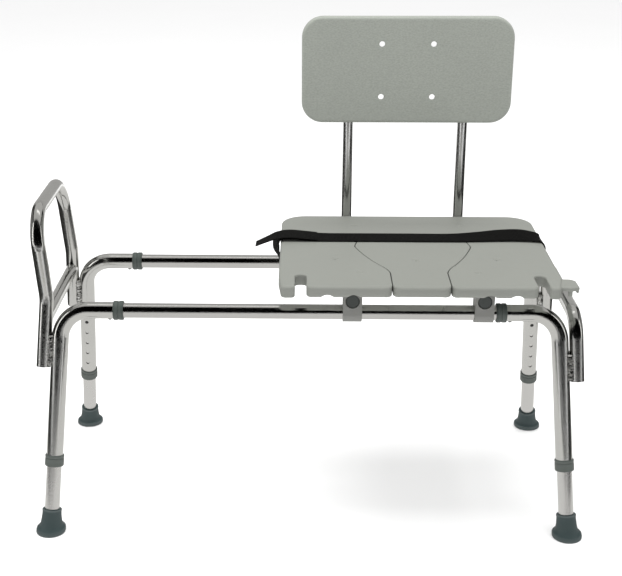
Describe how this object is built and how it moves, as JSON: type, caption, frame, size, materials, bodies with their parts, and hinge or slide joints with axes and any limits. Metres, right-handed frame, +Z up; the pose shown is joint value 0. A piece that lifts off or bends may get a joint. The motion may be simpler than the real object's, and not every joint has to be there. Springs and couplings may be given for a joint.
{
  "type": "bath transfer bench",
  "caption": "Bath transfer bench with a seat that rolls along two rails, lift-out keyhole insert, backrest, grab handle, strap and height-adjustable splayed legs.",
  "frame": {"origin": "on the floor under the middle of the frame", "axes": "+Z up, +X along the rails away from the grab handle, +Y from the seat's front edge to the backrest"},
  "size_m": [0.9438, 0.4798, 0.8255],
  "materials": {
    "leg_tube": "bright polished tube",
    "rail_tube": "bright polished tube",
    "extension_tube": "bright polished tube",
    "post_tube": "bright polished tube",
    "rail_collar": "moulded dark grey plastic",
    "leg_collar": "moulded grey-green plastic",
    "foot_rubber": "dark slate rubber",
    "button_dark": "dark domed button",
    "button_steel": "domed steel button",
    "spring_steel": "spring strip",
    "bracket_plastic": "moulded grey plastic",
    "roller_plastic": "hard dark roller",
    "seat_plastic": "blow-moulded, fine grain",
    "back_plastic": "moulded, fine grain",
    "weld": "rough weld bead",
    "fastener_steel": "plain steel",
    "strap_webbing": "ribbed black webbing"
  },
  "bodies": {
    "frame": {"leg_front_left": "leg_tube", "leg_front_right": "leg_tube", "leg_rear_left": "leg_tube", "leg_rear_right": "leg_tube", "rail_front": "rail_tube", "rail_rear": "rail_tube", "rail_collar_front_left": "rail_collar", "rail_collar_front_right": "rail_collar", "rail_collar_rear_left": "rail_collar", "rail_collar_rear_right": "rail_collar", "leg_collar_front_left": "leg_collar", "leg_collar_front_right": "leg_collar", "leg_collar_rear_left": "leg_collar", "leg_collar_rear_right": "leg_collar", "left_handle": "leg_tube", "handle_crossbar": "leg_tube", "right_brace": "leg_tube", "weld_beads": "weld", "rail_spring_front_left": "spring_steel", "rail_spring_front_right": "spring_steel", "rail_spring_rear_left": "spring_steel", "rail_spring_rear_right": "spring_steel"},
    "extension_front_left": {"leg_extension_front_left": "extension_tube", "foot_front_left": "foot_rubber", "leg_spring_front_left": "spring_steel"},
    "height_button_front_left": {"leg_button_front_left": "button_dark"},
    "rail_end_button_front_left": {"rail_button_front_left": "button_steel"},
    "roller_wheel_front_left": {"roller_front_left": "roller_plastic"},
    "extension_front_right": {"leg_extension_front_right": "extension_tube", "foot_front_right": "foot_rubber", "leg_spring_front_right": "spring_steel"},
    "height_button_front_right": {"leg_button_front_right": "button_dark"},
    "rail_end_button_front_right": {"rail_button_front_right": "button_steel"},
    "roller_wheel_front_right": {"roller_front_right": "roller_plastic"},
    "extension_rear_left": {"leg_extension_rear_left": "extension_tube", "foot_rear_left": "foot_rubber", "leg_spring_rear_left": "spring_steel"},
    "height_button_rear_left": {"leg_button_rear_left": "button_dark"},
    "rail_end_button_rear_left": {"rail_button_rear_left": "button_steel"},
    "roller_wheel_rear_left": {"roller_rear_left": "roller_plastic"},
    "extension_rear_right": {"leg_extension_rear_right": "extension_tube", "foot_rear_right": "foot_rubber", "leg_spring_rear_right": "spring_steel"},
    "height_button_rear_right": {"leg_button_rear_right": "button_dark"},
    "rail_end_button_rear_right": {"rail_button_rear_right": "button_steel"},
    "roller_wheel_rear_right": {"roller_rear_right": "roller_plastic"},
    "seat": {"seat_pan": "seat_plastic", "slide_bracket_front_left": "bracket_plastic", "slide_bracket_front_right": "bracket_plastic", "slide_bracket_rear_left": "bracket_plastic", "slide_bracket_rear_right": "bracket_plastic", "roller_axles": "fastener_steel", "bracket_screws": "fastener_steel", "backrest": "back_plastic", "backrest_post_left": "post_tube", "backrest_post_right": "post_tube", "post_bolts": "fastener_steel", "safety_strap": "strap_webbing", "strap_rivets": "fastener_steel"},
    "insert": {"seat_insert": "seat_plastic"}
  },
  "joints": [
    {"name": "seat_slide", "type": "slide", "parent": "frame", "child": "seat", "axis": [-1, 0, 0], "range_m": [0, 0.366]},
    {"name": "extend_front_left", "type": "slide", "parent": "frame", "child": "extension_front_left", "axis": [-0.0667, -0.2193, -0.9734], "range_m": [0, 0.0966], "deforming": ["leg_button_front_left"]},
    {"name": "press_height_button_front_left", "type": "slide", "parent": "extension_front_left", "child": "height_button_front_left", "axis": [0.015, -0.9757, 0.2188], "range_m": [0, 0.0053], "stiffness_N_per_m": 900, "deforming": ["leg_spring_front_left"]},
    {"name": "press_rail_button_front_left", "type": "slide", "parent": "frame", "child": "rail_end_button_front_left", "axis": [0, 0, 1], "range_m": [0, 0.0043], "stiffness_N_per_m": 900, "deforming": ["rail_spring_front_left"]},
    {"name": "roll_front_left", "type": "hinge", "parent": "seat", "child": "roller_wheel_front_left", "pos_m": [0.0725, -0.1355, 0.4033], "axis": [0, -1, 0], "continuous": true},
    {"name": "extend_front_right", "type": "slide", "parent": "frame", "child": "extension_front_right", "axis": [0.0667, -0.2193, -0.9734], "range_m": [0, 0.0966], "deforming": ["leg_button_front_right"]},
    {"name": "press_height_button_front_right", "type": "slide", "parent": "extension_front_right", "child": "height_button_front_right", "axis": [-0.015, -0.9757, 0.2188], "range_m": [0, 0.0053], "stiffness_N_per_m": 900, "deforming": ["leg_spring_front_right"]},
    {"name": "press_rail_button_front_right", "type": "slide", "parent": "frame", "child": "rail_end_button_front_right", "axis": [0, 0, 1], "range_m": [0, 0.0043], "stiffness_N_per_m": 900, "deforming": ["rail_spring_front_right"]},
    {"name": "roll_front_right", "type": "hinge", "parent": "seat", "child": "roller_wheel_front_right", "pos_m": [0.2935, -0.1355, 0.4033], "axis": [0, -1, 0], "continuous": true},
    {"name": "extend_rear_left", "type": "slide", "parent": "frame", "child": "extension_rear_left", "axis": [-0.0667, 0.2193, -0.9734], "range_m": [0, 0.0966], "deforming": ["leg_button_rear_left"]},
    {"name": "press_height_button_rear_left", "type": "slide", "parent": "extension_rear_left", "child": "height_button_rear_left", "axis": [0.015, 0.9757, 0.2188], "range_m": [0, 0.0053], "stiffness_N_per_m": 900, "deforming": ["leg_spring_rear_left"]},
    {"name": "press_rail_button_rear_left", "type": "slide", "parent": "frame", "child": "rail_end_button_rear_left", "axis": [0, 0, 1], "range_m": [0, 0.0043], "stiffness_N_per_m": 900, "deforming": ["rail_spring_rear_left"]},
    {"name": "roll_rear_left", "type": "hinge", "parent": "seat", "child": "roller_wheel_rear_left", "pos_m": [0.0725, 0.1355, 0.4033], "axis": [0, -1, 0], "continuous": true},
    {"name": "extend_rear_right", "type": "slide", "parent": "frame", "child": "extension_rear_right", "axis": [0.0667, 0.2193, -0.9734], "range_m": [0, 0.0966], "deforming": ["leg_button_rear_right"]},
    {"name": "press_height_button_rear_right", "type": "slide", "parent": "extension_rear_right", "child": "height_button_rear_right", "axis": [-0.015, 0.9757, 0.2188], "range_m": [0, 0.0053], "stiffness_N_per_m": 900, "deforming": ["leg_spring_rear_right"]},
    {"name": "press_rail_button_rear_right", "type": "slide", "parent": "frame", "child": "rail_end_button_rear_right", "axis": [0, 0, 1], "range_m": [0, 0.0043], "stiffness_N_per_m": 900, "deforming": ["rail_spring_rear_right"]},
    {"name": "roll_rear_right", "type": "hinge", "parent": "seat", "child": "roller_wheel_rear_right", "pos_m": [0.2935, 0.1355, 0.4033], "axis": [0, -1, 0], "continuous": true},
    {"name": "lift_insert", "type": "slide", "parent": "seat", "child": "insert", "axis": [0, 0, 1], "range_m": [0, 0.045], "deforming": ["safety_strap"]}
  ],
  "couplings": [
    {"joint": "roll_front_left", "follows": "seat_slide", "rad_per_m": 88.496},
    {"joint": "roll_front_right", "follows": "seat_slide", "rad_per_m": 88.496},
    {"joint": "roll_rear_left", "follows": "seat_slide", "rad_per_m": 88.496},
    {"joint": "roll_rear_right", "follows": "seat_slide", "rad_per_m": 88.496}
  ]
}
